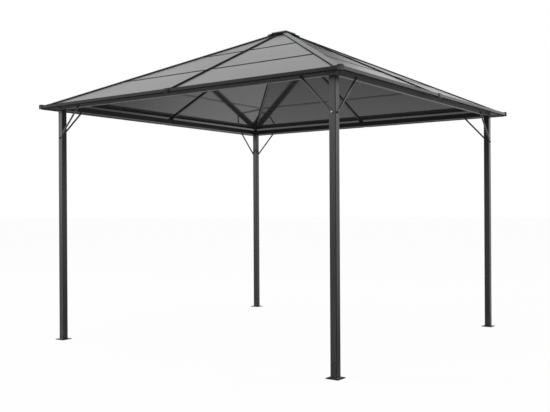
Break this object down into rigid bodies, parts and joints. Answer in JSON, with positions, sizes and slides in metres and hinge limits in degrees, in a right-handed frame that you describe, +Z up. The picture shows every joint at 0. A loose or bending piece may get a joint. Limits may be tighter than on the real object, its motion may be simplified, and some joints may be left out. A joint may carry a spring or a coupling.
{
  "type": "hardtop gazebo",
  "caption": "Square open gazebo: slim metal posts on base plates, a ring of beams with knee braces and a hipped roof of flat panels with caps over the joints.",
  "frame": {"origin": "on the ground under the middle of the roof", "axes": "+Z up; the front side faces -Y and the right side faces +X; the four sides are alike"},
  "size_m": [3.006, 3.006, 2.7053],
  "materials": {
    "frame_coating": "anthracite powder coat, fine satin texture",
    "eave_coating": "anthracite powder coat, satin",
    "panel_sheet": "grey coated sheet, satin above and glossy below",
    "cap_coating": "grey powder coat, satin",
    "joint_trim": "near black coated profile, satin",
    "corner_plastic": "moulded black plastic, matt"
  },
  "bodies": {
    "root": {"post_front_left": "frame_coating", "post_front_right": "frame_coating", "post_back_right": "frame_coating", "post_back_left": "frame_coating", "base_plate_front_left": "frame_coating", "base_plate_front_right": "frame_coating", "base_plate_back_right": "frame_coating", "base_plate_back_left": "frame_coating", "beam_front": "frame_coating", "beam_right": "frame_coating", "beam_back": "frame_coating", "beam_left": "frame_coating", "knee_braces_front_left": "frame_coating", "knee_braces_front_right": "frame_coating", "knee_braces_back_right": "frame_coating", "knee_braces_back_left": "frame_coating", "hip_rafter_front_left": "frame_coating", "hip_rafter_front_right": "frame_coating", "hip_rafter_back_right": "frame_coating", "hip_rafter_back_left": "frame_coating", "mid_rafter_front": "frame_coating", "mid_rafter_right": "frame_coating", "mid_rafter_back": "frame_coating", "mid_rafter_left": "frame_coating", "eave_profile_front": "eave_coating", "eave_profile_right": "eave_coating", "eave_profile_back": "eave_coating", "eave_profile_left": "eave_coating", "roof_panels_front": "panel_sheet", "roof_panels_right": "panel_sheet", "roof_panels_back": "panel_sheet", "roof_panels_left": "panel_sheet", "panel_joints_front": "joint_trim", "panel_joints_right": "joint_trim", "panel_joints_back": "joint_trim", "panel_joints_left": "joint_trim", "hip_caps": "cap_coating", "mid_caps": "joint_trim", "eave_corner_caps": "corner_plastic", "eave_joiners": "joint_trim", "crown_cap": "cap_coating", "crown_frame": "joint_trim", "apex_hub": "frame_coating", "corner_ties": "frame_coating", "rafter_seats": "frame_coating"}
  },
  "joints": []
}
